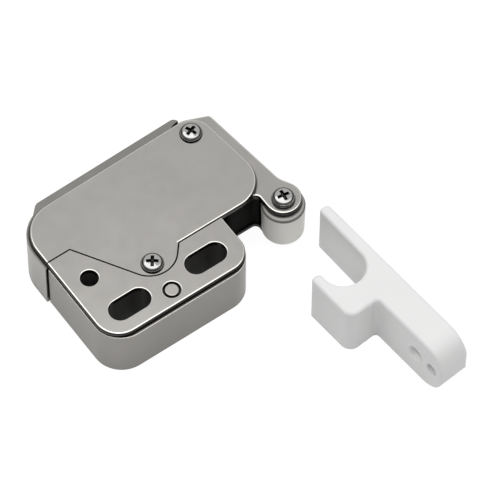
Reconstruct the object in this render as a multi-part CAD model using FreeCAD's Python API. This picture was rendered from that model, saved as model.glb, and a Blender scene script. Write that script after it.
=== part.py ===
import FreeCAD, Part
import math
import os
from FreeCAD import Vector

# Mini touch latch with a swinging roller arm, and the loose strike that goes on the door.
# Millimetres. The model is drawn with the front left corner of the cover plates at x = 0, y = 0
# and the underside at z = 0. It is written out about the middle of its two mounting slots.
# +X points towards the door, +Y towards the back wall and +Z up out of the mounting face.

# Heights
body_height = 12.5            # underside to the top of the cover plates
cover_thickness = 1.0
base_thickness = 0.6          # sheet base under the mechanism
arm_floor_gap = 0.1           # base to the arm's lower plate
lower_arm_thickness = 0.8
upper_arm_thickness = 1.1
arm_cover_gap = 0.2           # arm's upper plate to the main cover

# Cover plates
front_width = 31.7            # front cover, along X
front_corner = 5.0
front_right_corner = 4.5
cover_depth = 31.0            # front edge to the main cover's back edge, at the left side
back_slope = 0.0215           # the back edge leads away by this much for each millimetre along X
back_right_x = 40.9           # where the slanted right edge would meet the back edge
front_right_x = 43.4          # where it would meet the front edge of the main cover
back_left_radius = 7.0
back_right_radius = 4.5
main_front_radius = 6.5
main_front_y = 10.5           # front edge of the main cover
cover_edge_round = 0.45
hole_edge_round = 0.28

# Seam between the two covers
seam_gap = 0.16
seam_bevel = 0.14             # softens the main cover's edge along the seam
seam_left_y = 20.6
seam_bend_x = 5.0
lobe_offset = 1.0             # lobe's centre beside the cover screw
lobe_y = 11.95
lobe_radius = 5.3
seam_corner_offset = 5.6      # seam's corner beside the lobe's centre

# Housing walls
front_ledge = 0.6             # the walls stand this far outside the covers
left_ledge = 0.22
right_ledge = 0.05
wall_left_corner = 5.8
wall_right_corner = 5.2
wall = 1.2
rear_ledge = 0.6
rear_left_ledge = 0.6
rear_wall = 1.5
wall_top_round = 0.15
wall_foot_round = 0.3
housing_gap = 0.4             # upright slit between the two housings
housing_gap_y = 19.9
block_back_y = 14.95          # back of the front housing behind the cover screw
block_side_y = 11.65
block_bend_left_x = 11.5
block_bend_offset = 2.74      # back of the front housing bends this far before the seam's corner
block_corner_offset = 0.2     # and meets its right part this far after it
block_left_bend_x = 7.6
back_rail_step = 1.8          # rail's outer face beyond the cover's back edge
back_rail_depth = 2.6
back_rail_left_x = 5.8
back_rail_left_round = 1.5
back_rail_right_x = 37.5
back_rail_right_round = 1.2
back_wall = 1.2

# Mounting slots and holes of the mounting block
slot_length = 8.4
slot_width = 4.3
slot_left_x = 7.4
slot_right_edge = 7.5         # right slot's centre to the cover's right edge
slot_y = 4.95
side_hole_x = 4.55
side_hole_y = 13.68
side_hole_radius = 1.65
pin_offset = -0.46            # beside the middle of the slots
pin_y = 3.04
pin_radius = 1.3
pin_hole_radius = 1.65
pin_foot_z = 4.0
pin_end_round = 0.2
boss_round = 1.0
merge = 0.5                   # a boss starts this far inside the wall it grows from
past = 1.0                    # cutting solids run this far past a face

# Screws and rivets
screw_radius = 1.0
screw_hole_clearance = 0.1
thread_clearance = 0.02
head_radius = 2.0
head_height = 1.1
head_flank = 0.3
recess_length = 2.3
recess_width = 0.55
recess_depth = 0.7
cover_screw_offset = -0.2     # beside the middle of the slots
cover_screw_y = 9.57
cover_screw_foot_z = 5.0
cover_screw_turn = 54.0
pivot_screw_turn = 20.0
roller_screw_turn = -8.5
rivet_radius = 0.9
rivet_length = 3.5
rivet_boss_radius = 2.0
front_rivet_y = 12.3
rear_rivet_x = 19.0
rear_rivet_y = 29.3
corner_rivet_x = 3.9
corner_rivet_y = 26.6
tongue_half_width = 3.6       # base's tongue under the front housing
tongue_reach = 1.7
tongue_depth = 5.0            # from its rivet back to under the mechanism
base_gap = 0.15               # base sheet to the housings' walls
base_right_x = 39.4
base_front_y = 12.4
base_round = 3.0

# Arm
pivot_x = 37.5
pivot_y = 28.5
hub_radius = 4.0
hub_relief = 0.15             # gap between the hub and the back wall
back_edge_slope = 22.5        # degrees that the arm's back edge falls towards the door
arm_corner_x = 43.13
arm_corner_round = 0.8
arm_side_x = 45.52            # where the door side bends out to the roller's boss
arm_side_y = 11.8
arm_side_round = 4.0
arm_front_y = 11.3
arm_front_round = 1.5
arm_notch_round = 1.0
arm_edge_round = 0.42         # upper plate's rim
bush_radius = 2.0
running_clearance = 0.05
core_inset = 0.35
arm_rivet_radius = 1.0
arm_rivets = ((38.6, 21.5), (37.2, 14.8))

# Roller
roller_x = 43.5
roller_y = 7.6
roller_boss_radius = 3.5
roller_boss_aside = 0.2       # boss's centre beside the roller's, towards the door
roller_boss_behind = 0.4      # and towards the back wall
roller_top_radius = 4.12
roller_foot_radius = 3.98
roller_top_gap = 0.2
roller_foot_gap = 0.1
roller_top_round = 0.7
roller_foot_round = 0.4
roller_core_gap = 0.42
axle_radius = 1.6
washer_radius = 2.0
washer_thickness = 0.4

# Cam plate, follower and springs
cam_thickness = 1.8
cam_left_x = 24.2
cam_front_y = 21.4
cam_back_y = 29.5
cam_corner_round = 1.5
cam_hub_radius = 3.9
cam_shoulder_turn = 26.0
track_depth = 1.3
track_width = 1.9
return_width = 1.6
return_bulge_x = 30.4
return_bulge_y = 25.8
follower_pivot_x = 13.0
follower_pivot_y = 26.0
follower_pin_x = 27.4
follower_pin_y = 24.0
follower_ratio = -0.12        # follower turn for each degree of arm swing
swing_in = -4.0
swing_out = 23.0
follower_gap = 0.3
link_cover_gap = 1.7          # follower link to the main cover
link_thickness = 0.8
link_width = 2.2
link_end_radius = 1.5
follower_pin_radius = 0.6
post_radius = 0.8
post_flange_radius = 1.6
post_gap = 0.1
leaf_thickness = 0.2
leaf_width = 2.0
leaf_gap = 0.1
leaf_rivet_radius = 0.6
leaf_rivet_head = 0.95
leaf_rivet_head_height = 0.35
leaf_rivet_length = 2.5
leaf_cover_gap = 0.9          # leaf spring's seat to the main cover
rear_boss_front = 1.4         # rivet centre to the rear boss's front face
leaf_foot = 0.6               # flat end of the leaf on the link
leaf_tip = 1.4                # link's axis to the leaf's tip
spring_radius = 2.1
spring_wire = 0.5
spring_turns = 9
spring_y = 17.2
spring_z = 4.1
seat_gap = 0.05
tab_x = 14.6
tab_thickness = 0.6
tab_half_width = 2.0
tab_height = 6.2
guide_flange = 0.9
guide_peg_radius = 1.35
guide_peg_length = 2.4

# Strike
strike_turn = 5.0             # degrees that the loose strike is turned as it lies
mouth_x = 43.63               # centre of the mouth's round end
mouth_y = -10.24
mouth_radius = 4.2
mouth_bottom = 4.6            # centre of the mouth to its bottom
mouth_draft = 0.25            # the mouth is this much wider at the long prong's tip
strike_height = 12.3
strike_back = 6.7             # centre of the mouth to the flat back that goes on the door
short_prong = 2.2
short_prong_reach = 1.2
long_prong_reach = 11.5
block_depth = 9.86            # centre of the mouth to the end of the block
block_corner = 2.2
inner_corner = 0.9
leg_step = 0.16               # centre of the mouth to the leg's inner face
leg_length = 17.5
leg_end_radius = 5.0
leg_corner = 0.8
prong_tip_round = 0.8
strike_edge_round = 0.7
strike_hole_z = 6.3
strike_hole_one = 10.5        # along the leg from the block
strike_hole_two = 14.9
strike_hole_radius = 1.3
countersink_radius = 1.75
countersink_depth = 0.8

# Levels that follow from the heights
cover_z = body_height - cover_thickness
lower_arm_z = base_thickness + arm_floor_gap
core_z = lower_arm_z + lower_arm_thickness
upper_arm_top = cover_z - arm_cover_gap
upper_arm_z = upper_arm_top - upper_arm_thickness
link_top = cover_z - link_cover_gap
link_z = link_top - link_thickness
cam_top = link_z - follower_gap
cam_bottom_z = cam_top - cam_thickness
leaf_seat_z = cover_z - leaf_cover_gap

# Places that follow from the slots
slot_right_x = front_width - slot_right_edge
slots_middle_x = (slot_left_x + slot_right_x) / 2
pin_x = slots_middle_x + pin_offset
cover_screw_x = slots_middle_x + cover_screw_offset
lobe_x = cover_screw_x + lobe_offset
seam_corner_x = lobe_x + seam_corner_offset
block_bend_right_x = seam_corner_x - block_bend_offset
block_corner_x = seam_corner_x + block_corner_offset


def back_edge_y(x):
    """Back edge of the main cover at x."""
    return cover_depth + back_slope * x


def back_inner_y(x):
    """Inner face of the back wall at x."""
    return back_edge_y(x) + rear_ledge - back_wall


def outline(corners, z=0.0):
    """Closed wire through corners (x, y, radius), with each corner rounded by its radius."""
    count = len(corners)
    stops = []
    for index in range(count):
        x, y, radius = corners[index]
        here = Vector(x, y, z)
        before = Vector(corners[index - 1][0], corners[index - 1][1], z) - here
        after = Vector(corners[(index + 1) % count][0], corners[(index + 1) % count][1], z) - here
        before.normalize()
        after.normalize()
        if radius <= 0:
            stops.append((here, here, here))
            continue
        half = before.getAngle(after) / 2
        reach = radius / math.tan(half)
        inward = before + after
        inward.normalize()
        middle = here + inward * (radius / math.sin(half) - radius)
        stops.append((here + before * reach, middle, here + after * reach))
    edges = []
    for index in range(count):
        start, middle, end = stops[index]
        following = stops[(index + 1) % count][0]
        if start.distanceToPoint(end) > 1e-6:
            edges.append(Part.Arc(start, middle, end).toShape())
        if end.distanceToPoint(following) > 1e-6:
            edges.append(Part.LineSegment(end, following).toShape())
    return Part.Wire(edges)


def prism(corners, low, high):
    """Upright solid on the outline through the corners."""
    return Part.Face(outline(corners, low)).extrude(Vector(0, 0, high - low))


def grown(corners, distance):
    """Corners of an anticlockwise outline moved outwards, with their radii to match."""
    count = len(corners)
    result = []
    for index in range(count):
        x0, y0, _ = corners[index - 1]
        x1, y1, radius = corners[index]
        x2, y2, _ = corners[(index + 1) % count]
        first = Vector(x1 - x0, y1 - y0, 0)
        second = Vector(x2 - x1, y2 - y1, 0)
        first.normalize()
        second.normalize()
        turn = first.x * second.y - first.y * second.x
        cosine = first.x * second.x + first.y * second.y
        along = distance * (1 - cosine) / turn if abs(turn) > 1e-9 else 0.0
        x = x1 + first.y * distance + first.x * along
        y = y1 - first.x * distance + first.y * along
        if radius > 0:
            radius = max(radius + math.copysign(distance, distance * turn), 0.0)
        result.append((x, y, radius))
    return result


def round_bar(x, y, radius, low, high):
    """Upright cylinder."""
    return Part.makeCylinder(radius, high - low, Vector(x, y, low))


def slot_corners(x, y, length, width):
    """Outline of a slot with round ends along X."""
    end = width / 2
    left = x - length / 2
    right = x + length / 2
    return [(left, y - end, end), (right, y - end, end), (right, y + end, end), (left, y + end, end)]


def level_edges(shape, z):
    """Edges that lie flat at height z."""
    found = []
    for edge in shape.Edges:
        box = edge.BoundBox
        if abs(box.ZMin - z) < 1e-4 and abs(box.ZMax - z) < 1e-4:
            found.append(edge)
    return found


def turned(shape, x, y, degrees):
    """Copy of a shape turned about an upright axis."""
    copy = shape.copy()
    copy.rotate(Vector(x, y, 0), Vector(0, 0, 1), degrees)
    return copy


def tangent_point(x, y, centre_x, centre_y, radius, side):
    """Point where the line from (x, y) touches a circle; side +1 is anticlockwise of the way to x, y."""
    reach = math.hypot(x - centre_x, y - centre_y)
    base = math.atan2(y - centre_y, x - centre_x)
    angle = base + side * math.acos(radius / reach)
    return centre_x + radius * math.cos(angle), centre_y + radius * math.sin(angle), angle


def arc_lane(first, second, third, width, low, high):
    """Groove solid with round ends along the arc through three plan points."""
    start = Vector(first[0], first[1], low)
    middle = Vector(second[0], second[1], low)
    end = Vector(third[0], third[1], low)
    centre = Part.Arc(start, middle, end).toShape().Curve.Center
    half = width / 2
    points = []
    for side in (half, -half):
        for point in (start, middle, end):
            way = point - centre
            way.normalize()
            points.append(point + way * side)
    outer = Part.Arc(points[0], points[1], points[2]).toShape()
    inner = Part.Arc(points[5], points[4], points[3]).toShape()
    cap_far = Part.LineSegment(points[2], points[5]).toShape()
    cap_near = Part.LineSegment(points[3], points[0]).toShape()
    lane = Part.Face(Part.Wire([outer, cap_far, inner, cap_near])).extrude(Vector(0, 0, high - low))
    for point in (start, end):
        lane = lane.fuse(round_bar(point.x, point.y, half, low, high))
    return lane.removeSplitter()


def front_outline():
    """Front cover up to the seam, anticlockwise."""
    seam_y = main_front_y - seam_gap
    first_x, first_y, first_angle = tangent_point(
        seam_corner_x, seam_y, lobe_x, lobe_y, lobe_radius, -1)
    last_x, last_y, last_angle = tangent_point(
        seam_bend_x, seam_left_y, lobe_x, lobe_y, lobe_radius, 1)
    last_angle -= math.tau if last_angle > first_angle else 0.0
    half_angle = (first_angle - last_angle) / 2
    tip_angle = (first_angle + last_angle) / 2
    reach = lobe_radius / math.cos(half_angle / 2)
    right_angle = tip_angle + half_angle / 2
    left_angle = tip_angle - half_angle / 2
    return [
        (0.0, 0.0, front_corner),
        (front_width, 0.0, front_right_corner),
        (front_width, seam_y, 0.0),
        (seam_corner_x, seam_y, 0.0),
        (lobe_x + reach * math.cos(right_angle), lobe_y + reach * math.sin(right_angle), lobe_radius),
        (lobe_x + reach * math.cos(left_angle), lobe_y + reach * math.sin(left_angle), lobe_radius),
        (seam_bend_x, seam_left_y, 0.0),
        (0.0, seam_left_y, 0.0),
    ]


def slot_centres():
    """Plan centres of the two mounting slots."""
    return [(slot_left_x, slot_y), (slot_right_x, slot_y)]


def make_front_cover():
    """Plate over the front housing, with two slots, a hole and the pin's hole."""
    blank = [
        (0.0, 0.0, front_corner),
        (front_width, 0.0, front_right_corner),
        (front_width, cover_depth, 0.0),
        (0.0, cover_depth, 0.0),
    ]
    plate = prism(blank, cover_z, body_height)
    plate = plate.makeFillet(cover_edge_round, level_edges(plate, body_height))
    plate = plate.common(prism(front_outline(), cover_z, body_height))
    cuts = []
    for x, y in slot_centres():
        cuts.append(prism(slot_corners(x, y, slot_length, slot_width), 0, body_height))
    cuts.append(round_bar(side_hole_x, side_hole_y, side_hole_radius, 0, body_height))
    cuts.append(round_bar(pin_x, pin_y, pin_hole_radius, 0, body_height))
    for cut in cuts:
        rims = level_edges(cut, body_height)
        plate = plate.cut(cut)
        plate = plate.makeFillet(hole_edge_round, matching_edges(plate, rims))
    return plate


def matching_edges(shape, samples):
    """Edges of a shape that lie where the sample edges are."""
    centres = [sample.CenterOfMass for sample in samples]
    found = []
    for edge in shape.Edges:
        if any(edge.CenterOfMass.distanceToPoint(centre) < 1e-3 for centre in centres):
            if any(abs(edge.Length - sample.Length) < 1e-3 for sample in samples):
                found.append(edge)
    return found


def make_main_cover():
    """Large plate over the mechanism, cut back along the seam, with two screw holes."""
    low_y = front_corner
    blank = [
        (0.0, low_y, 0.0),
        (seam_corner_x, low_y, 0.0),
        (seam_corner_x, main_front_y, 0.0),
        (front_right_x, main_front_y, main_front_radius),
        (back_right_x, back_edge_y(back_right_x), back_right_radius),
        (0.0, cover_depth, back_left_radius),
    ]
    plate = prism(blank, cover_z, body_height)
    plate = plate.makeFillet(cover_edge_round, level_edges(plate, body_height))
    front = Part.Face(outline(front_outline(), cover_z))
    swollen = front.makeOffset2D(seam_gap).extrude(Vector(0, 0, cover_thickness))
    plate = plate.cut(swollen)
    low_rim = front.makeOffset2D(seam_gap).OuterWire
    high_rim = front.makeOffset2D(seam_gap + seam_bevel).OuterWire
    low_rim.translate(Vector(0, 0, cover_thickness - seam_bevel))
    high_rim.translate(Vector(0, 0, cover_thickness))
    plate = plate.cut(Part.makeLoft([low_rim, high_rim], True, True))
    for x, y in ((cover_screw_x, cover_screw_y), (pivot_x, pivot_y)):
        plate = plate.cut(round_bar(x, y, screw_radius + screw_hole_clearance, 0, body_height))
    return plate


def front_block():
    """Outer plan of the front housing, anticlockwise."""
    return [
        (-left_ledge, -front_ledge, wall_left_corner),
        (front_width + right_ledge, -front_ledge, wall_right_corner),
        (front_width + right_ledge, block_side_y, 0.0),
        (block_corner_x, block_side_y, 0.0),
        (block_bend_right_x, block_back_y, 0.0),
        (block_bend_left_x, block_back_y, 0.0),
        (block_left_bend_x, housing_gap_y, 0.0),
        (-left_ledge, housing_gap_y, 0.0),
    ]


def make_front_housing():
    """Cast wall round the mounting block, open above and below."""
    ring = prism(front_block(), 0, cover_z)
    ring = ring.makeFillet(wall_top_round, level_edges(ring, cover_z))
    ring = ring.makeFillet(wall_foot_round, level_edges(ring, 0))
    ring = ring.cut(prism(grown(front_block(), -wall), 0, cover_z))
    return ring.cut(prism(base_tongue(arm_floor_gap), 0, base_thickness + thread_clearance))


def make_mounting_block():
    """Dark moulding that fills the front housing, with the slots and holes through it."""
    block = prism(grown(front_block(), -wall - thread_clearance), 0, cover_z)
    for x, y in slot_centres():
        block = block.cut(prism(slot_corners(x, y, slot_length, slot_width), 0, cover_z))
    block = block.cut(round_bar(side_hole_x, side_hole_y, side_hole_radius, 0, cover_z))
    block = block.cut(round_bar(pin_x, pin_y, pin_radius + thread_clearance, pin_foot_z, cover_z))
    thread_radius = screw_radius + thread_clearance
    block = block.cut(round_bar(cover_screw_x, cover_screw_y, thread_radius, cover_screw_foot_z, cover_z))
    block = block.cut(prism(base_tongue(arm_floor_gap), 0, base_thickness + thread_clearance))
    rivet_hole = rivet_radius + thread_clearance
    return block.cut(round_bar(cover_screw_x, front_rivet_y, rivet_hole, 0, rivet_length))


def rear_outline():
    """Outer plan of the rear housing's plain wall, open towards the arm, anticlockwise."""
    return [
        (-rear_left_ledge, housing_gap_y + housing_gap, 0.0),
        (back_rail_right_x, housing_gap_y + housing_gap, 0.0),
        (back_rail_right_x, back_edge_y(back_rail_right_x) + rear_ledge, 0.0),
        (-rear_left_ledge, back_edge_y(-rear_left_ledge) + rear_ledge, back_left_radius + rear_ledge),
    ]


def make_rear_housing():
    """Cast wall along the left side and the back, with a rail and two bosses."""
    band = prism(rear_outline(), 0, cover_z)
    rail_left_y = back_edge_y(back_rail_left_x) + back_rail_step
    rail_right_y = back_edge_y(back_rail_right_x) + back_rail_step
    rail = [
        (back_rail_left_x - back_rail_depth, rail_left_y - back_rail_depth, 0.0),
        (back_rail_right_x, rail_right_y - back_rail_depth, 0.0),
        (back_rail_right_x, rail_right_y, back_rail_right_round),
        (back_rail_left_x, rail_left_y, back_rail_left_round),
    ]
    band = band.fuse(prism(rail, 0, cover_z)).removeSplitter()
    left_inner = rear_wall - rear_left_ledge
    room = [
        (left_inner, housing_gap_y - past, 0.0),
        (back_rail_right_x + past, housing_gap_y - past, 0.0),
        (back_rail_right_x + past, back_inner_y(back_rail_right_x + past), 0.0),
        (left_inner, back_inner_y(left_inner), back_left_radius - left_inner),
    ]
    band = band.cut(prism(room, 0, cover_z))
    band = band.cut(round_bar(pivot_x, pivot_y, hub_radius + hub_relief, 0, cover_z))
    corner_x = left_inner - merge
    corner_boss = [
        (corner_x, corner_rivet_y - rivet_boss_radius, 0.0),
        (corner_rivet_x + rivet_boss_radius, corner_rivet_y - rivet_boss_radius, boss_round),
        (corner_rivet_x + rivet_boss_radius, back_inner_y(corner_rivet_x) + merge, 0.0),
        (corner_x, back_inner_y(corner_rivet_x) + merge, back_left_radius),
    ]
    band = band.fuse(prism(corner_boss, base_thickness, cover_z))
    rear_boss = [
        (rear_rivet_x - rivet_boss_radius, rear_rivet_y - rear_boss_front, boss_round),
        (rear_rivet_x + rivet_boss_radius, rear_rivet_y - rear_boss_front, boss_round),
        (rear_rivet_x + rivet_boss_radius, back_inner_y(rear_rivet_x) + merge, 0.0),
        (rear_rivet_x - rivet_boss_radius, back_inner_y(rear_rivet_x) + merge, 0.0),
    ]
    band = band.fuse(prism(rear_boss, base_thickness, leaf_seat_z)).removeSplitter()
    for x, y in ((corner_rivet_x, corner_rivet_y), (rear_rivet_x, rear_rivet_y)):
        band = band.cut(round_bar(x, y, rivet_radius + thread_clearance, 0, rivet_length))
    leaf_hole = leaf_rivet_radius + thread_clearance
    leaf_hole_foot = leaf_seat_z - leaf_rivet_length
    return band.cut(round_bar(rear_rivet_x, rear_rivet_y, leaf_hole, leaf_hole_foot, leaf_seat_z))


def base_tongue(gap):
    """Plan of the base's tongue under the front housing, wider all round by the gap."""
    half = tongue_half_width + gap
    return [
        (cover_screw_x - half, front_rivet_y - tongue_reach - gap, 0.0),
        (cover_screw_x + half, front_rivet_y - tongue_reach - gap, 0.0),
        (cover_screw_x + half, front_rivet_y + tongue_depth, 0.0),
        (cover_screw_x - half, front_rivet_y + tongue_depth, 0.0),
    ]


def make_bottom_plate():
    """Sheet base with a tongue, a bent tab for the drive spring and holes for what it carries."""
    left = rear_wall - rear_left_ledge + base_gap
    gap = base_gap
    plan = [
        (left, housing_gap_y + housing_gap + gap, 0.0),
        (block_left_bend_x + gap, housing_gap_y + housing_gap + gap, 0.0),
        (block_bend_left_x + gap, block_back_y + gap, 0.0),
        (block_bend_right_x + gap, block_back_y + gap, 0.0),
        (block_corner_x + gap, base_front_y, 0.0),
        (base_right_x, base_front_y, base_round),
        (base_right_x, back_inner_y(base_right_x) - gap, base_round),
        (left, back_inner_y(left) - gap, back_left_radius - left),
    ]
    plate = prism(plan, 0, base_thickness)
    plate = plate.fuse(prism(base_tongue(0), 0, base_thickness)).removeSplitter()
    tab = [
        (tab_x, spring_y - tab_half_width, 0.0),
        (tab_x + tab_thickness, spring_y - tab_half_width, 0.0),
        (tab_x + tab_thickness, spring_y + tab_half_width, 0.0),
        (tab_x, spring_y + tab_half_width, 0.0),
    ]
    plate = plate.fuse(prism(tab, 0, tab_height)).removeSplitter()
    for x, y in rivet_places():
        plate = plate.cut(round_bar(x, y, rivet_radius + thread_clearance, 0, base_thickness))
    plate = plate.cut(round_bar(pivot_x, pivot_y, screw_radius + thread_clearance, 0, base_thickness))
    post_hole = post_radius + thread_clearance
    return plate.cut(round_bar(follower_pivot_x, follower_pivot_y, post_hole, 0, base_thickness))


def rivet_places():
    """Plan places of the three rivets that hold the base."""
    return [
        (corner_rivet_x, corner_rivet_y),
        (rear_rivet_x, rear_rivet_y),
        (cover_screw_x, front_rivet_y),
    ]


def make_base_rivets():
    """Three flush rivets that hold the base to the housings."""
    return Part.makeCompound([round_bar(x, y, rivet_radius, 0, rivet_length) for x, y in rivet_places()])


def make_cover_pin():
    """Plain locating pin in the front cover, with a softly rounded end."""
    pin = round_bar(pin_x, pin_y, pin_radius, pin_foot_z, body_height)
    return pin.makeFillet(pin_end_round, level_edges(pin, body_height))


def pan_screw(x, y, seat_z, foot_z, recess_turn):
    """Pan head screw with a cross recess, its head standing on seat_z."""
    head = round_bar(x, y, head_radius, seat_z, seat_z + head_height)
    head = head.makeFillet(head_height - head_flank, level_edges(head, seat_z + head_height))
    top = seat_z + head_height
    arm = [
        (x - recess_length / 2, y - recess_width / 2, 0.0),
        (x + recess_length / 2, y - recess_width / 2, 0.0),
        (x + recess_length / 2, y + recess_width / 2, 0.0),
        (x - recess_length / 2, y + recess_width / 2, 0.0),
    ]
    cut = prism(arm, top - recess_depth, top)
    for quarter in (0, 90):
        head = head.cut(turned(cut, x, y, recess_turn + quarter))
    return head.fuse(round_bar(x, y, screw_radius, foot_z, seat_z)).removeSplitter()


def arm_outline():
    """Plan of the arm's plates, anticlockwise from the hub's far corner."""
    slope = math.radians(back_edge_slope)
    hub_top = pivot_y + hub_radius
    hub_turn_x = pivot_x + hub_radius * math.tan(slope / 2)
    corner_y = hub_top - (arm_corner_x - hub_turn_x) * math.tan(slope)
    boss_x = roller_x + roller_boss_aside
    boss_y = roller_y + roller_boss_behind
    boss_left = boss_x - roller_boss_radius
    boss_right = boss_x + roller_boss_radius
    boss_low = boss_y - roller_boss_radius
    leave = tangent_point(arm_side_x, arm_side_y, boss_x, boss_y, roller_boss_radius, -1)[2]
    return [
        (pivot_x - hub_radius, hub_top, hub_radius),
        (pivot_x - hub_radius, arm_front_y, arm_front_round),
        (boss_left, arm_front_y, arm_notch_round),
        (boss_left, boss_low, roller_boss_radius),
        (boss_right, boss_low, roller_boss_radius),
        (boss_right, boss_y + roller_boss_radius * math.tan(leave / 2), roller_boss_radius),
        (arm_side_x, arm_side_y, arm_side_round),
        (arm_corner_x, corner_y, arm_corner_round),
        (hub_turn_x, hub_top, hub_radius),
    ]


def make_arm_plate(low, high, rivet_hole):
    """One of the arm's two plates, bored for the bush, the roller's screw and the rivets."""
    plate = prism(arm_outline(), low, high)
    if high == upper_arm_top:
        plate = plate.makeFillet(arm_edge_round, level_edges(plate, high))
    plate = plate.cut(round_bar(pivot_x, pivot_y, bush_radius + running_clearance, low, high))
    plate = plate.cut(round_bar(roller_x, roller_y, screw_radius + thread_clearance, low, high))
    for x, y in arm_rivets:
        plate = plate.cut(round_bar(x, y, rivet_hole, low, high))
    return plate


def cam_plan(growth):
    """Solid plan of the cam plate, wider all round by the growth."""
    shoulder = math.radians(cam_shoulder_turn)
    shoulder_x = pivot_x - cam_hub_radius * math.cos(shoulder)
    shoulder_y = pivot_y + cam_hub_radius * math.sin(shoulder)
    tail = [
        (cam_left_x, cam_front_y, cam_corner_round),
        (pivot_x, pivot_y - cam_hub_radius, 0.0),
        (pivot_x, pivot_y, 0.0),
        (shoulder_x, shoulder_y, 0.0),
        (cam_left_x, cam_back_y, cam_corner_round),
    ]
    low = cam_bottom_z - growth
    high = cam_top + growth
    solid = prism(grown(tail, growth), low, high)
    return solid.fuse(round_bar(pivot_x, pivot_y, cam_hub_radius + growth, low, high)).removeSplitter()


def make_arm_core():
    """Moulded core that joins the two plates and hugs the roller's clearance."""
    core = prism(grown(arm_outline(), -core_inset), core_z, upper_arm_z)
    gap = roller_top_radius + roller_core_gap
    core = core.cut(round_bar(roller_x, roller_y, gap, core_z, upper_arm_z))
    core = core.cut(round_bar(pivot_x, pivot_y, bush_radius + running_clearance, core_z, upper_arm_z))
    core = core.cut(cam_plan(thread_clearance))
    for x, y in arm_rivets:
        core = core.cut(round_bar(x, y, arm_rivet_radius + thread_clearance, core_z, upper_arm_z))
    solids = sorted(core.Solids, key=lambda solid: solid.Volume)
    return solids[-1]


def pin_in_cam(swing):
    """Place of the follower's pin on the cam plate when the arm has swung by so many degrees."""
    follow = math.radians(swing * follower_ratio)
    reach_x = follower_pin_x - follower_pivot_x
    reach_y = follower_pin_y - follower_pivot_y
    pin_now_x = follower_pivot_x + reach_x * math.cos(follow) - reach_y * math.sin(follow)
    pin_now_y = follower_pivot_y + reach_x * math.sin(follow) + reach_y * math.cos(follow)
    back = math.radians(-swing)
    away_x = pin_now_x - pivot_x
    away_y = pin_now_y - pivot_y
    x = pivot_x + away_x * math.cos(back) - away_y * math.sin(back)
    y = pivot_y + away_x * math.sin(back) + away_y * math.cos(back)
    return x, y


def make_cam_plate():
    """Steel plate on the hub with the closed track that the follower's pin runs in."""
    cam = cam_plan(0)
    bore = bush_radius + running_clearance
    cam = cam.cut(round_bar(pivot_x, pivot_y, bore, cam_bottom_z, cam_top))
    track_z = cam_top - track_depth
    first = pin_in_cam(swing_in)
    middle = pin_in_cam((swing_in + swing_out) / 2)
    last = pin_in_cam(swing_out)
    track = arc_lane(first, middle, last, track_width, track_z, cam_top)
    bulge = (return_bulge_x, return_bulge_y)
    track = track.fuse(arc_lane(first, bulge, last, return_width, track_z, cam_top))
    return cam.cut(track)


def make_arm_rivets():
    """Two flush rivets through the plates and the core."""
    return Part.makeCompound(
        [round_bar(x, y, arm_rivet_radius, lower_arm_z, upper_arm_top) for x, y in arm_rivets])


def make_pivot_bush():
    """Bush that the arm turns on, between the base and the main cover."""
    bush = round_bar(pivot_x, pivot_y, bush_radius, base_thickness, cover_z)
    bore = screw_radius + running_clearance
    return bush.cut(round_bar(pivot_x, pivot_y, bore, base_thickness, cover_z))


def make_roller():
    """Slightly tapered roller with a bore for its axle."""
    low = core_z + roller_foot_gap
    high = upper_arm_z - roller_top_gap
    roller = Part.makeCone(roller_foot_radius, roller_top_radius, high - low, Vector(roller_x, roller_y, low))
    roller = roller.makeFillet(roller_foot_round, level_edges(roller, low))
    roller = roller.makeFillet(roller_top_round, level_edges(roller, high))
    return roller.cut(round_bar(roller_x, roller_y, axle_radius + running_clearance, low, high))


def make_roller_axle():
    """Sleeve between the arm's plates that the roller turns on."""
    axle = round_bar(roller_x, roller_y, axle_radius, core_z, upper_arm_z)
    return axle.cut(round_bar(roller_x, roller_y, screw_radius + thread_clearance, core_z, upper_arm_z))


def make_roller_washer():
    """Washer under the head of the roller's screw."""
    top = upper_arm_top + washer_thickness
    washer = round_bar(roller_x, roller_y, washer_radius, upper_arm_top, top)
    washer = washer.makeFillet(washer_thickness / 3, level_edges(washer, top))
    return washer.cut(round_bar(roller_x, roller_y, screw_radius + thread_clearance, upper_arm_top, top))


def make_follower_link():
    """Flat link from its post to the pin in the track."""
    span_x = follower_pin_x - follower_pivot_x
    span_y = follower_pin_y - follower_pivot_y
    length = math.hypot(span_x, span_y)
    bar = [
        (0.0, -link_width / 2, 0.0),
        (length, -link_width / 2, 0.0),
        (length, link_width / 2, 0.0),
        (0.0, link_width / 2, 0.0),
    ]
    link = prism(bar, link_z, link_top)
    for place in (0.0, length):
        link = link.fuse(round_bar(place, 0, link_end_radius, link_z, link_top))
    link = link.removeSplitter()
    link = link.cut(round_bar(0, 0, post_radius + running_clearance, link_z, link_top))
    link = link.cut(round_bar(length, 0, follower_pin_radius + thread_clearance, link_z, link_top))
    link.rotate(Vector(0, 0, 0), Vector(0, 0, 1), math.degrees(math.atan2(span_y, span_x)))
    link.translate(Vector(follower_pivot_x, follower_pivot_y, 0))
    return link


def make_follower_pin():
    """Pin that hangs from the link into the track."""
    foot = cam_top - track_depth + follower_gap
    return round_bar(follower_pin_x, follower_pin_y, follower_pin_radius, foot, link_top)


def make_link_post():
    """Stepped post on the base that the link turns on."""
    x = follower_pivot_x
    y = follower_pivot_y
    post = round_bar(x, y, post_radius, 0, link_top + follower_gap)
    return post.fuse(round_bar(x, y, post_flange_radius, base_thickness, link_z - post_gap)).removeSplitter()


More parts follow.
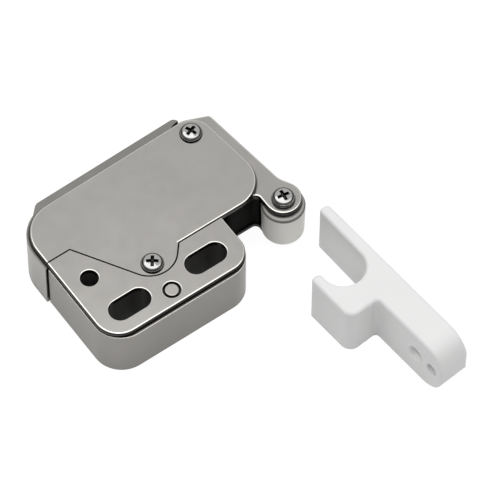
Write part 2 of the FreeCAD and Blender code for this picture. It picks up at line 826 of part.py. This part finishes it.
def make_follower_spring():
    """Leaf that keeps the link down, bent from its seat on the rear boss to the link."""
    foot = link_top + leaf_gap
    seat_front = rear_rivet_y - rear_boss_front - leaf_gap
    seat_back = rear_rivet_y + rear_boss_front
    tip = follower_pivot_y - leaf_tip
    profile = [
        Vector(0, seat_back, leaf_seat_z),
        Vector(0, seat_back, leaf_seat_z + leaf_thickness),
        Vector(0, seat_front, leaf_seat_z + leaf_thickness),
        Vector(0, tip + leaf_foot, foot + leaf_thickness),
        Vector(0, tip, foot + leaf_thickness),
        Vector(0, tip, foot),
        Vector(0, tip + leaf_foot, foot),
        Vector(0, seat_front, leaf_seat_z),
        Vector(0, seat_back, leaf_seat_z),
    ]
    leaf = Part.Face(Part.makePolygon(profile)).extrude(Vector(leaf_width, 0, 0))
    leaf.translate(Vector(rear_rivet_x - leaf_width / 2, 0, 0))
    hole = leaf_rivet_radius + thread_clearance
    return leaf.cut(round_bar(rear_rivet_x, rear_rivet_y, hole, leaf_seat_z, leaf_seat_z + leaf_thickness))


def make_leaf_rivet():
    """Small rivet that holds the leaf to the rear boss."""
    seat = leaf_seat_z + leaf_thickness
    shank = round_bar(rear_rivet_x, rear_rivet_y, leaf_rivet_radius, leaf_seat_z - leaf_rivet_length, seat)
    top = seat + leaf_rivet_head_height
    return shank.fuse(round_bar(rear_rivet_x, rear_rivet_y, leaf_rivet_head, seat, top)).removeSplitter()


def guide_face_x():
    """Door side of the drive spring's room: the arm core's inner face."""
    return pivot_x - hub_radius + core_inset


def make_spring_guide():
    """Plug on the arm that centres the end of the drive spring."""
    face = guide_face_x() - seat_gap
    way = Vector(1, 0, 0)
    flange_start = Vector(face - guide_flange, spring_y, spring_z)
    flange = Part.makeCylinder(spring_radius, guide_flange, flange_start, way)
    peg_start = Vector(face - guide_flange - guide_peg_length, spring_y, spring_z)
    peg = Part.makeCylinder(guide_peg_radius, guide_peg_length, peg_start, way)
    return flange.fuse(peg).removeSplitter()


def biarc(start, start_way, end, end_way):
    """Two arcs from start to end that leave and arrive along the given ways."""
    gap = end - start
    ways = start_way + end_way
    across = start_way.dot(end_way)
    first = gap.dot(ways)
    reach = (-first + math.sqrt(first * first + 2 * (1 - across) * gap.dot(gap))) / (2 * (1 - across))
    knee_one = start + start_way * reach
    knee_two = end - end_way * reach
    joint = (knee_one + knee_two) * 0.5
    edges = []
    for low, knee, high in ((start, knee_one, joint), (joint, knee_two, end)):
        chord_middle = (low + high) * 0.5
        rise = (knee - chord_middle).Length
        half_chord = (high - low).Length / 2
        base_angle = math.atan2(rise, half_chord)
        sagitta = half_chord * math.tan(base_angle / 2)
        middle = chord_middle + (knee - chord_middle) * (sagitta / rise)
        edges.append(Part.Arc(low, middle, high).toShape())
    return edges


def make_drive_spring():
    """Compression spring between the base's tab and the guide, one unbroken wire."""
    left = tab_x + tab_thickness + spring_wire / 2 + seat_gap
    right = guide_face_x() - seat_gap - guide_flange - spring_wire / 2 - seat_gap
    coil_radius = spring_radius - spring_wire / 2
    pitch = (right - left) / spring_turns
    edges = []
    stations = []
    for quarter in range(4 * spring_turns + 1):
        angle = quarter * math.pi / 2
        across = coil_radius * math.cos(angle)
        rise = coil_radius * math.sin(angle)
        point = Vector(left + pitch * quarter / 4, across, rise)
        way = Vector(pitch / math.tau, -rise, across)
        way.normalize()
        stations.append((point, way))
    for (low, low_way), (high, high_way) in zip(stations, stations[1:]):
        edges.extend(biarc(low, low_way, high, high_way))
    path = Part.Wire(edges)
    section = Part.Wire(Part.Circle(stations[0][0], stations[0][1], spring_wire / 2).toShape())
    coil = path.makePipeShell([section], True, False)
    coil.translate(Vector(0, spring_y, spring_z))
    print("drive spring: least gap between turns %.2f mm" % (pitch - spring_wire))
    return coil


def strike_plan():
    """Plan of the strike about the centre of its mouth, anticlockwise, with a plain mouth."""
    left = -mouth_radius - short_prong
    tip_inner = mouth_radius + mouth_draft
    return [
        (left, short_prong_reach, prong_tip_round),
        (left, -block_depth, block_corner),
        (leg_step, -block_depth, inner_corner),
        (leg_step, -block_depth - leg_length, leg_corner),
        (strike_back, -block_depth - leg_length, leg_corner),
        (strike_back, long_prong_reach, prong_tip_round),
        (tip_inner, long_prong_reach, prong_tip_round),
        (mouth_radius, 0.0, 0.0),
        (mouth_radius, -mouth_bottom, mouth_radius),
        (-mouth_radius, -mouth_bottom, mouth_radius),
        (-mouth_radius, short_prong_reach, prong_tip_round),
    ]


def make_strike():
    """White strike: a mouth between two prongs, and a leg with two screw holes."""
    body = prism(strike_plan(), 0, strike_height)
    foot = -block_depth - leg_length
    side = [
        (foot, 0.0, leg_end_radius),
        (long_prong_reach, 0.0, 0.0),
        (long_prong_reach, strike_height, 0.0),
        (foot, strike_height, leg_end_radius),
    ]
    wide = mouth_radius + short_prong + strike_back + 2 * past
    envelope = prism(side, 0, wide)
    envelope.rotate(Vector(0, 0, 0), Vector(1, 0, 0), 90)
    envelope.rotate(Vector(0, 0, 0), Vector(0, 0, 1), 90)
    envelope.translate(Vector(-mouth_radius - short_prong - past, 0, 0))
    body = body.common(envelope)
    top_edges = level_edges(body, strike_height)
    body = body.makeFillet(strike_edge_round, top_edges)
    for along in (strike_hole_one, strike_hole_two):
        start = Vector(leg_step - past, -block_depth - along, strike_hole_z)
        body = body.cut(Part.makeCylinder(strike_hole_radius, wide, start, Vector(1, 0, 0)))
    mouth = Vector(leg_step, -block_depth - strike_hole_one, strike_hole_z)
    sink = Part.makeCone(countersink_radius, strike_hole_radius, countersink_depth, mouth, Vector(1, 0, 0))
    body = body.cut(sink)
    body.rotate(Vector(0, 0, 0), Vector(0, 0, 1), strike_turn)
    body.translate(Vector(mouth_x, mouth_y, 0))
    return body


def write_node(name, shape):
    """Move a piece to the frame about the slots' middle and write it."""
    placed = shape.copy()
    placed.translate(Vector(-slots_middle_x, -slot_y, 0))
    if not placed.isValid():
        print("not valid:", name)
    box = placed.BoundBox
    print("%-20s solids %d volume %9.3f z %.2f to %.2f" % (
        name, len(placed.Solids), placed.Volume, box.ZMin, box.ZMax))
    placed.exportStep(os.path.join("parts", name + ".step"))


def main():
    os.makedirs("parts", exist_ok=True)
    washer_top = upper_arm_top + washer_thickness
    nodes = {
        "front_housing": make_front_housing(),
        "mounting_block": make_mounting_block(),
        "rear_housing": make_rear_housing(),
        "front_cover": make_front_cover(),
        "main_cover": make_main_cover(),
        "bottom_plate": make_bottom_plate(),
        "base_rivets": make_base_rivets(),
        "cover_pin": make_cover_pin(),
        "cover_screw": pan_screw(
            cover_screw_x, cover_screw_y, body_height, cover_screw_foot_z, cover_screw_turn),
        "pivot_screw": pan_screw(pivot_x, pivot_y, body_height, 0, pivot_screw_turn),
        "pivot_bush": make_pivot_bush(),
        "link_post": make_link_post(),
        "follower_spring": make_follower_spring(),
        "leaf_rivet": make_leaf_rivet(),
        "drive_spring": make_drive_spring(),
        "arm_top_plate": make_arm_plate(upper_arm_z, upper_arm_top, arm_rivet_radius + thread_clearance),
        "arm_bottom_plate": make_arm_plate(lower_arm_z, core_z, arm_rivet_radius + thread_clearance),
        "arm_core": make_arm_core(),
        "cam_plate": make_cam_plate(),
        "arm_rivets": make_arm_rivets(),
        "spring_guide": make_spring_guide(),
        "roller_axle": make_roller_axle(),
        "roller_washer": make_roller_washer(),
        "roller_screw": pan_screw(roller_x, roller_y, washer_top, lower_arm_z, roller_screw_turn),
        "roller": make_roller(),
        "follower_link": make_follower_link(),
        "follower_pin": make_follower_pin(),
        "strike": make_strike(),
    }
    for name, shape in nodes.items():
        write_node(name, shape)


main()
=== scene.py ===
"""Looks of the touch latch: finishes, screws in detail, floor, light and camera."""
import math

import bmesh
import bpy
from mathutils import Matrix, Vector


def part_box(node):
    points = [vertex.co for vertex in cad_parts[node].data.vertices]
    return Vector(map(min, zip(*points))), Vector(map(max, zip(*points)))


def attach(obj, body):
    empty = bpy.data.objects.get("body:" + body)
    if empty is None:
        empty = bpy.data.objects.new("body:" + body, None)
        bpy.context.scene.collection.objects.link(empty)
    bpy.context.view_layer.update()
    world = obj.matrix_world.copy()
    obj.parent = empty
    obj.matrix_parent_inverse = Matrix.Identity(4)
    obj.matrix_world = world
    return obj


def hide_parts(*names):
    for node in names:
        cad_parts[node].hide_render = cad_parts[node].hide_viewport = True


MM = 0.001
WHITE = (1, 1, 1, 1)

# Camera, in millimetres and degrees. The aim is on the plane of the cover plates.
VIEW_AZIMUTH = -35.958
VIEW_ELEVATION = 58.586
VIEW_ROLL = -0.495
VIEW_AIM = (15.936, -3.280, 12.5)
VIEW_DISTANCE = 872.68
SENSOR_WIDTH = 36.0
PHOTO_WIDTH = 500.0
FOCAL_PIXELS = 4800.0
CLIP_NEAR = 0.05           # metres
CLIP_FAR = 20.0

# Surroundings. They fall from bright to dark towards the horizon on the camera's side.
WORLD_BRIGHT = 0.67
WORLD_DARK = 0.025
WORLD_FRONT = 0.5
WORLD_RISE = 1.0
WORLD_START = -0.35
WORLD_END = -0.05
FLOOR_RADIUS = 0.13        # metres
FLOOR_SIDES = 128
FLOOR_DROP = 0.02          # millimetres under the part
FLOOR_COLOUR = (0.85, 0.85, 0.85, 1)
FLOOR_SEEN = 0.85          # share of plain white that the camera sees in the floor
FLOOR_MIRRORED = 0.15      # the same for what shines in metal
FLOOR_GLOW = 1.1

# Panels of light that hang level over the part: centre and size, in metres
PANEL_RADIANCE = 0.95
PANELS = {
    "main_panel": ((-0.101, -0.0965, 0.42), (0.47, 0.563)),
    "right_panel": ((0.277, -0.231, 0.42), (0.286, 0.378)),
    "back_panel": ((-0.231, 0.2815, 0.42), (0.462, 0.193)),
}

# Pan head screws, in millimetres
HEAD_HEIGHT = 1.1
HEAD_FLANK = 0.48
HEAD_UNDERCUT_TOP = 0.4
HEAD_UNDERCUT = 0.3        # the head's foot is this much narrower than its rim
SHANK_RADIUS = 1.0
THREAD_PITCH = 0.4
THREAD_DEPTH = 0.13
THREAD_ROWS = 5            # rows of points in each pitch
TIP_BEVEL = 0.25
SCREW_SIDES = 64
DOME_ROWS = 14
CROSS_LENGTH = 2.5
CROSS_WIDTH = 0.68
CROSS_TAPER = 0.6          # bottom of the cross to its top
CROSS_DEPTH = 0.65
POINT_SIDES = 8
POINT_RADIUS = 0.45
POINT_DEPTH = 0.85
PUNCH_RISE = 0.2           # the punches stand this far above the head
SHARP_ANGLE = 32.0
SCREWS = {                 # body that the screw moves with, and turn of its cross in degrees
    "cover_screw": ("housing", 54.0),
    "pivot_screw": ("housing", 20.0),
    "roller_screw": ("arm", -8.5),
}

# Unevenness of every finish, sizes in millimetres
NOISE_LOW = 0.3
NOISE_HIGH = 0.7
CLOUD_SIZE = 9.0
PATCH_SIZE = 2.5
PATCH_DETAIL = 4.0
GRAIN_DETAIL = 3.0
GRAIN_STRENGTH = 0.5

# Painted shade: metal is darkened in its crevices, by how much of the space over it is open
CREVICE_REACH = 0.45       # millimetres
CREVICE_SAMPLES = 8
PAINTED_CREVICE_SHADE = 0.12
CREVICE_CLOSED = 0.72
CREVICE_OPEN = 0.97
UNDER_FULL = -0.9          # upward part of the normal from which a face counts as looking down
UNDER_NONE = -0.7

# Tone against the upward part of a face's normal: painted highlights on rounded edges and painted shade on
# cut sides
TONE_TOP = 3.0
# Flat tones paint no slope light; a finish that has them still gets the painted crevice shade
FLAT_TONES = ((0.0, 1.0),)
PLATE_PAINTED_LIGHT = ((0.0, 0.13), (0.6, 0.13), (0.74, 0.4), (0.86, 1.6), (0.97, 1.5), (0.999, 1.0))
WALL_PAINTED_LIGHT = ((0.0, 1.0), (0.15, 1.0), (0.35, 2.7), (0.93, 2.7), (0.99, 0.8))
# Painted highlight and painted dark rings on the screw heads, by slope
HEAD_PAINTED_LIGHT = ((0.0, 0.9), (0.5, 1.3), (0.62, 0.14), (0.90, 0.14), (0.94, 1.1))
# Painted shade on the roller's rounded top edge and, more lightly, on its top face
ROLLER_PAINTED_SHADE = ((0.1, 1.0), (0.25, 0.2), (0.7, 0.2), (0.9, 0.5))

FINISHES = {
    "chrome": {
        "colour": (0.52, 0.52, 0.51), "roughness": 0.10, "spread": 0.02, "shade": 0.02, "painted_tones": HEAD_PAINTED_LIGHT},
    "satin_nickel": {"colour": (0.54, 0.525, 0.499), "roughness": 0.19, "painted_tones": PLATE_PAINTED_LIGHT},
    # Two copies of one cast nickel: the front housing's copy is darker than the rear's, painted shade on its
    # walls
    "front_cast_nickel_shaded": {"colour": (0.32, 0.308, 0.289), "roughness": 0.24, "painted_tones": WALL_PAINTED_LIGHT},
    "rear_cast_nickel": {"colour": (0.41, 0.397, 0.374), "roughness": 0.24, "painted_tones": WALL_PAINTED_LIGHT},
    "arm_nickel": {"colour": (0.505, 0.490, 0.465), "roughness": 0.20, "painted_tones": PLATE_PAINTED_LIGHT},
    "zinc_sheet": {"colour": (0.42, 0.415, 0.40), "roughness": 0.38, "painted_tones": FLAT_TONES},
    "pin_nickel": {"colour": (0.54, 0.525, 0.499), "roughness": 0.24, "painted_tones": FLAT_TONES},
    "turned_nickel": {
        "colour": (0.84, 0.83, 0.79), "metallic": 0.12, "roughness": 0.45, "painted_tones": ROLLER_PAINTED_SHADE},
    # The mounting block is black, so the insides of the slots render dark
    "black_slot_block": {"colour": (0.044, 0.042, 0.038), "metallic": 0.0, "roughness": 0.45},
    "black_core": {
        "colour": (0.004, 0.004, 0.0035), "metallic": 0.0, "roughness": 0.55, "specular": 0.06},
    "brass": {"colour": (0.55, 0.42, 0.20), "roughness": 0.25, "painted_tones": FLAT_TONES},
    "steel": {"colour": (0.42, 0.42, 0.41), "roughness": 0.28, "painted_tones": FLAT_TONES},
    "white_moulding": {
        "colour": (0.84, 0.84, 0.835), "metallic": 0.0, "roughness": 0.38, "shade": 0.01,
        "grain_mm": 0.25, "relief_mm": 0.001},
    # Painted shade: near-black colour on the cut faces of the cross recess in the screw heads
    "recess_painted_shade": {"colour": (0.05, 0.05, 0.05), "roughness": 0.35},
}
DRESSES = {
    "satin_nickel": ("front_cover", "main_cover"),
    "front_cast_nickel_shaded": ("front_housing",),
    "rear_cast_nickel": ("rear_housing",),
    "arm_nickel": ("arm_top_plate", "arm_bottom_plate"),
    "zinc_sheet": ("bottom_plate",),
    "pin_nickel": ("cover_pin",),
    "turned_nickel": ("roller",),
    "black_slot_block": ("mounting_block",),
    "black_core": ("arm_core", "spring_guide"),
    "brass": ("pivot_bush", "link_post"),
    "steel": (
        "cam_plate", "follower_link", "follower_pin", "roller_axle", "base_rivets", "arm_rivets",
        "leaf_rivet", "drive_spring", "follower_spring"),
    "chrome": ("roller_washer",),
    "white_moulding": ("strike",),
}


def make_material(name):
    """Empty node material, with its output."""
    material = bpy.data.materials.new(name)
    material.use_nodes = True
    material.node_tree.nodes.clear()
    output = material.node_tree.nodes.new("ShaderNodeOutputMaterial")
    return material, material.node_tree, output


def noise(tree, coordinates, size_mm, detail=2.0):
    """Noise of grains about size_mm across, on the object's own coordinates."""
    node = tree.nodes.new("ShaderNodeTexNoise")
    node.inputs["Scale"].default_value = 1.0 / (size_mm * MM)
    node.inputs["Detail"].default_value = detail
    tree.links.new(coordinates, node.inputs["Vector"])
    return node.outputs["Fac"]


def ranged(tree, value, low, high, start=NOISE_LOW, end=NOISE_HIGH):
    """Value between start and end, spread over low to high."""
    node = tree.nodes.new("ShaderNodeMapRange")
    node.inputs["From Min"].default_value = start
    node.inputs["From Max"].default_value = end
    node.inputs["To Min"].default_value = low
    node.inputs["To Max"].default_value = high
    tree.links.new(value, node.inputs["Value"])
    return node.outputs["Result"]


def combined(tree, operation, first, second):
    """Two values joined by a math operation."""
    node = tree.nodes.new("ShaderNodeMath")
    node.operation = operation
    tree.links.new(first, node.inputs[0])
    tree.links.new(second, node.inputs[1])
    return node.outputs[0]


def scaled(tree, value, factor):
    """Value times a number."""
    node = tree.nodes.new("ShaderNodeMath")
    node.operation = "MULTIPLY"
    node.inputs[1].default_value = factor
    tree.links.new(value, node.inputs[0])
    return node.outputs[0]


def tinted(tree, colour, factor):
    """Colour times a factor that changes over the surface."""
    node = tree.nodes.new("ShaderNodeVectorMath")
    node.operation = "SCALE"
    node.inputs[0].default_value = colour
    tree.links.new(factor, node.inputs["Scale"])
    return node.outputs["Vector"]


def bumped(tree, height, depth_mm):
    """Surface relief from a height."""
    node = tree.nodes.new("ShaderNodeBump")
    node.inputs["Strength"].default_value = GRAIN_STRENGTH
    node.inputs["Distance"].default_value = depth_mm * MM
    tree.links.new(height, node.inputs["Height"])
    return node.outputs["Normal"]


def painted_crevice_shade(tree):
    """Painted shade: tone that falls where little of the space over the surface is open."""
    around = tree.nodes.new("ShaderNodeAmbientOcclusion")
    around.samples = CREVICE_SAMPLES
    around.inputs["Distance"].default_value = CREVICE_REACH * MM
    return ranged(tree, around.outputs["AO"], PAINTED_CREVICE_SHADE, 1.0, CREVICE_CLOSED, CREVICE_OPEN)


def painted_slope_light(tree, upward, painted_tones):
    """Painted highlight and shade: tone that follows how far a face looks up, from pairs of upward part and
    tone.
    """
    ramp = tree.nodes.new("ShaderNodeValToRGB")
    stops = ramp.color_ramp.elements
    stops.remove(stops[1])
    for index, (place, tone) in enumerate(painted_tones):
        stop = stops[0] if index == 0 else stops.new(place)
        stop.position = place
        stop.color = (tone / TONE_TOP, tone / TONE_TOP, tone / TONE_TOP, 1)
    tree.links.new(upward, ramp.inputs["Fac"])
    return scaled(tree, ramp.outputs["Color"], TONE_TOP)


def painted_relief_light(tree, painted_tones):
    """Painted shade and highlight on a metal face from its crevices and its slope; faces that look down keep
    full tone.
    """
    tone = painted_crevice_shade(tree)
    parts = tree.nodes.new("ShaderNodeSeparateXYZ")
    tree.links.new(tree.nodes.new("ShaderNodeNewGeometry").outputs["Normal"], parts.inputs[0])
    upward = parts.outputs["Z"]
    if len(painted_tones) > 1:
        tone = combined(tree, "MULTIPLY", tone, painted_slope_light(tree, upward, painted_tones))
    under = ranged(tree, upward, 1.0, 0.0, UNDER_FULL, UNDER_NONE)
    return combined(tree, "MAXIMUM", tone, under)


def surface(
        name, colour, roughness, metallic=1.0, specular=0.5, painted_tones=None,
        spread=0.03, shade=0.03, grain_mm=0.12, relief_mm=0.0015):
    """Surface with cloudy shade, uneven roughness and a fine grain."""
    material, tree, output = make_material(name)
    coordinates = tree.nodes.new("ShaderNodeTexCoord").outputs["Object"]
    shader = tree.nodes.new("ShaderNodeBsdfPrincipled")
    shader.inputs["Metallic"].default_value = metallic
    shader.inputs["Specular IOR Level"].default_value = specular
    tone = ranged(tree, noise(tree, coordinates, CLOUD_SIZE), 1.0 - shade, 1.0 + shade)
    # Painted shade in crevices and painted highlight and shade by slope, for finishes that give a tone table
    if painted_tones:
        tone = combined(tree, "MULTIPLY", tone, painted_relief_light(tree, painted_tones))
    tree.links.new(tinted(tree, colour, tone), shader.inputs["Base Color"])
    patches = noise(tree, coordinates, PATCH_SIZE, PATCH_DETAIL)
    tree.links.new(ranged(tree, patches, roughness - spread, roughness + spread), shader.inputs["Roughness"])
    grain = noise(tree, coordinates, grain_mm, GRAIN_DETAIL)
    tree.links.new(bumped(tree, grain, relief_mm), shader.inputs["Normal"])
    tree.links.new(shader.outputs["BSDF"], output.inputs["Surface"])
    return material


def dress(nodes, material):
    """Give carried-over nodes their material."""
    for name in nodes:
        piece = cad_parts[name]
        piece.data.materials.clear()
        piece.data.materials.append(material)


def make_camera():
    """Camera at the photograph's angle, distance and focal length."""
    azimuth = math.radians(VIEW_AZIMUTH)
    elevation = math.radians(VIEW_ELEVATION)
    roll = math.radians(VIEW_ROLL)
    level = math.cos(elevation)
    forward = Vector((-math.sin(azimuth) * level, math.cos(azimuth) * level, -math.sin(elevation)))
    right = forward.cross(Vector((0, 0, 1))).normalized()
    down = forward.cross(right)
    turned_right = right * math.cos(roll) + down * math.sin(roll)
    turned_down = down * math.cos(roll) - right * math.sin(roll)
    data = bpy.data.cameras.new("camera")
    data.sensor_width = SENSOR_WIDTH
    data.lens = SENSOR_WIDTH * FOCAL_PIXELS / PHOTO_WIDTH
    data.clip_start = CLIP_NEAR
    data.clip_end = CLIP_FAR
    camera = bpy.data.objects.new("camera", data)
    bpy.context.scene.collection.objects.link(camera)
    axes = Matrix((turned_right, -turned_down, -forward)).transposed().to_4x4()
    place = Vector(VIEW_AIM) * MM - forward * (VIEW_DISTANCE * MM)
    camera.matrix_world = Matrix.Translation(place) @ axes
    bpy.context.scene.camera = camera


def make_floor():
    """Round pale floor just under the part, white to the camera apart from the part's shadow."""
    mesh = bpy.data.meshes.new("floor")
    rim = []
    for side in range(FLOOR_SIDES):
        turn = math.tau * side / FLOOR_SIDES
        rim.append((FLOOR_RADIUS * math.cos(turn), FLOOR_RADIUS * math.sin(turn), 0))
    mesh.from_pydata(rim, [], [range(FLOOR_SIDES)])
    floor = bpy.data.objects.new("floor", mesh)
    bpy.context.scene.collection.objects.link(floor)
    floor.location.z = -FLOOR_DROP * MM
    material, tree, output = make_material("floor")
    path = tree.nodes.new("ShaderNodeLightPath").outputs
    seen = scaled(tree, path["Is Camera Ray"], FLOOR_SEEN)
    mirrored = scaled(tree, path["Is Glossy Ray"], FLOOR_MIRRORED)
    matt = tree.nodes.new("ShaderNodeBsdfDiffuse")
    matt.inputs["Color"].default_value = FLOOR_COLOUR
    glow = tree.nodes.new("ShaderNodeEmission")
    glow.inputs["Color"].default_value = WHITE
    glow.inputs["Strength"].default_value = FLOOR_GLOW
    mix = tree.nodes.new("ShaderNodeMixShader")
    tree.links.new(combined(tree, "MAXIMUM", seen, mirrored), mix.inputs["Fac"])
    tree.links.new(matt.outputs["BSDF"], mix.inputs[1])
    tree.links.new(glow.outputs["Emission"], mix.inputs[2])
    tree.links.new(mix.outputs["Shader"], output.inputs["Surface"])
    mesh.materials.append(material)


def make_panel(name, centre, size):
    """Soft rectangular light that faces straight down."""
    data = bpy.data.lights.new(name, "AREA")
    data.shape = "RECTANGLE"
    data.size, data.size_y = size
    data.energy = PANEL_RADIANCE * math.pi * size[0] * size[1]
    lamp = bpy.data.objects.new(name, data)
    bpy.context.scene.collection.objects.link(lamp)
    lamp.location = centre


def make_world():
    """Even studio surroundings, dark low down on the camera's side and white to the camera."""
    world = bpy.data.worlds.new("studio")
    bpy.context.scene.world = world
    world.use_nodes = True
    tree = world.node_tree
    tree.nodes.clear()
    output = tree.nodes.new("ShaderNodeOutputWorld")
    turn = math.radians(VIEW_AZIMUTH)
    slant = tree.nodes.new("ShaderNodeVectorMath")
    slant.operation = "DOT_PRODUCT"
    slant.inputs[1].default_value = (
        math.sin(turn) * WORLD_FRONT, -math.cos(turn) * WORLD_FRONT, -WORLD_RISE)
    tree.links.new(tree.nodes.new("ShaderNodeTexCoord").outputs["Generated"], slant.inputs[0])
    level = ranged(tree, slant.outputs["Value"], WORLD_BRIGHT, WORLD_DARK, WORLD_START, WORLD_END)
    around = tree.nodes.new("ShaderNodeBackground")
    around.inputs["Color"].default_value = WHITE
    tree.links.new(level, around.inputs["Strength"])
    backdrop = tree.nodes.new("ShaderNodeBackground")
    backdrop.inputs["Color"].default_value = WHITE
    backdrop.inputs["Strength"].default_value = 1.0
    mix = tree.nodes.new("ShaderNodeMixShader")
    tree.links.new(tree.nodes.new("ShaderNodeLightPath").outputs["Is Camera Ray"], mix.inputs["Fac"])
    tree.links.new(around.outputs["Background"], mix.inputs[1])
    tree.links.new(backdrop.outputs["Background"], mix.inputs[2])
    tree.links.new(mix.outputs["Shader"], output.inputs["Surface"])


def thread_reach(height, turn):
    """Radius of the threaded shank at a height and an angle."""
    phase = (height / THREAD_PITCH - turn / math.tau) % 1.0
    return SHANK_RADIUS - THREAD_DEPTH * abs(2 * phase - 1)


def screw_rows(head_radius, length):
    """Rings of a screw from its crown down, as height and radius; a thread's ring has no radius."""
    rows = []
    for step in range(1, DOME_ROWS + 1):
        turn = math.pi / 2 * step / DOME_ROWS
        rise = (HEAD_HEIGHT - HEAD_FLANK) * math.cos(turn)
        rows.append((HEAD_FLANK + rise, head_radius * math.sin(turn)))
    rows.append((HEAD_UNDERCUT_TOP, head_radius))
    rows.append((0.0, head_radius - HEAD_UNDERCUT))
    rows.append((0.0, SHANK_RADIUS))
    step_down = THREAD_PITCH / THREAD_ROWS
    for step in range(1, int((length - TIP_BEVEL) / step_down)):
        rows.append((-step * step_down, None))
    rows.append((-length, SHANK_RADIUS - TIP_BEVEL))
    return rows


def ring_mesh(name, rows, crown, foot):
    """Closed mesh through rings of points, in metres, with a middle point at each end."""
    shape = bmesh.new()
    rings = []
    for height, radius in rows:
        ring = []
        for side in range(SCREW_SIDES):
            turn = math.tau * side / SCREW_SIDES
            reach = thread_reach(height, turn) if radius is None else radius
            place = Vector((reach * math.cos(turn), reach * math.sin(turn), height))
            ring.append(shape.verts.new(place * MM))
        rings.append(ring)
    top = shape.verts.new((0, 0, crown * MM))
    bottom = shape.verts.new((0, 0, foot * MM))
    for side in range(SCREW_SIDES):
        after = (side + 1) % SCREW_SIDES
        shape.faces.new((top, rings[0][side], rings[0][after]))
        shape.faces.new((bottom, rings[-1][after], rings[-1][side]))
        for upper, lower in zip(rings, rings[1:]):
            shape.faces.new((upper[side], lower[side], lower[after], upper[after]))
    mesh = bpy.data.meshes.new(name)
    shape.to_mesh(mesh)
    shape.free()
    return mesh


def punch_mesh(name, sides, top_reach, low_reach, turn, depth):
    """Convex punch that narrows downwards from above the head, reaches given as x and y."""
    shape = bmesh.new()
    high = []
    low = []
    for side in range(sides):
        angle = math.tau * (side + 0.5) / sides
        stretch = math.sqrt(2) if sides == 4 else 1.0
        x = math.cos(angle) * stretch
        y = math.sin(angle) * stretch
        for ring, reach, height in (
                (high, top_reach, HEAD_HEIGHT + PUNCH_RISE), (low, low_reach, HEAD_HEIGHT - depth)):
            place = Matrix.Rotation(turn, 3, "Z") @ Vector((x * reach[0], y * reach[1], height))
            ring.append(shape.verts.new(place * MM))
    shape.faces.new(high)
    shape.faces.new(low[::-1])
    for side in range(sides):
        after = (side + 1) % sides
        shape.faces.new((low[side], low[after], high[after], high[side]))
    mesh = bpy.data.meshes.new(name)
    shape.to_mesh(mesh)
    shape.free()
    return mesh


def recess_punches():
    """Meshes that cut the cross recess: two crossed arms and a point."""
    widen = 1 + (1 - CROSS_TAPER) * PUNCH_RISE / CROSS_DEPTH
    top_reach = (CROSS_LENGTH / 2 * widen, CROSS_WIDTH / 2 * widen)
    low_reach = (CROSS_LENGTH / 2 * CROSS_TAPER, CROSS_WIDTH / 2 * CROSS_TAPER)
    punches = []
    for quarter in (0.0, math.pi / 2):
        punches.append(punch_mesh("arm", 4, top_reach, low_reach, quarter, CROSS_DEPTH))
    point = (POINT_RADIUS, POINT_RADIUS)
    tip = (POINT_RADIUS * CROSS_TAPER / 2, POINT_RADIUS * CROSS_TAPER / 2)
    punches.append(punch_mesh("point", POINT_SIDES, point, tip, 0.0, POINT_DEPTH))
    return punches


def cut_recess(screw, recess):
    """Cut the cross recess into a screw's mesh, with the painted-shade recess material on what is cut."""
    punches = []
    for mesh in recess_punches():
        mesh.materials.append(recess)
        punch = bpy.data.objects.new("punch", mesh)
        bpy.context.scene.collection.objects.link(punch)
        cut = screw.modifiers.new("recess", "BOOLEAN")
        cut.operation = "DIFFERENCE"
        cut.solver = "EXACT"
        cut.material_mode = "TRANSFER"
        cut.object = punch
        punches.append(punch)
    bpy.context.view_layer.update()
    graph = bpy.context.evaluated_depsgraph_get()
    finished = bpy.data.meshes.new_from_object(screw.evaluated_get(graph))
    screw.modifiers.clear()
    screw.data = finished
    for punch in punches:
        bpy.data.objects.remove(punch)
    finished.shade_smooth()
    finished.set_sharp_from_angle(angle=math.radians(SHARP_ANGLE))


def make_screw(node, body, turn_degrees, metal, recess):
    """Pan head screw with a domed head, a cross recess and a thread, in place of its plain solid."""
    low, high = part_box(node)
    seat = high.z / MM - HEAD_HEIGHT
    foot = low.z / MM - seat
    head_radius = (high.x - low.x) / 2 / MM
    rows = screw_rows(head_radius, -foot)
    screw = bpy.data.objects.new(node + "_detail", ring_mesh(node + "_detail", rows, HEAD_HEIGHT, foot))
    screw.data.materials.append(metal)
    screw.data.materials.append(recess)
    bpy.context.scene.collection.objects.link(screw)
    cut_recess(screw, recess)
    middle = (low + high) / 2
    place = Matrix.Translation((middle.x, middle.y, seat * MM))
    screw.matrix_world = place @ Matrix.Rotation(math.radians(turn_degrees), 4, "Z")
    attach(screw, body)
    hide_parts(node)


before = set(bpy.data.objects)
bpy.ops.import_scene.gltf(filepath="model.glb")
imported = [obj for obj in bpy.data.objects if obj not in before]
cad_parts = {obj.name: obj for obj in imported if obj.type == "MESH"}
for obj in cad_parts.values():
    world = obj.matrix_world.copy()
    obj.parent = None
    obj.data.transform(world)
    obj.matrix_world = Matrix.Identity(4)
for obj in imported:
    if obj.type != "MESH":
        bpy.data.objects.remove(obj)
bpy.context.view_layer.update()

make_camera()
make_floor()
make_world()
for panel_name, (panel_centre, panel_size) in PANELS.items():
    make_panel(panel_name, panel_centre, panel_size)

materials = {}
for finish_name, finish in FINISHES.items():
    materials[finish_name] = surface(finish_name, **finish)
for finish_name, dressed_nodes in DRESSES.items():
    dress(dressed_nodes, materials[finish_name])
for screw_node, (screw_body, screw_turn) in SCREWS.items():
    make_screw(screw_node, screw_body, screw_turn, materials["chrome"], materials["recess_painted_shade"])

bpy.context.scene.view_settings.view_transform = "Standard"
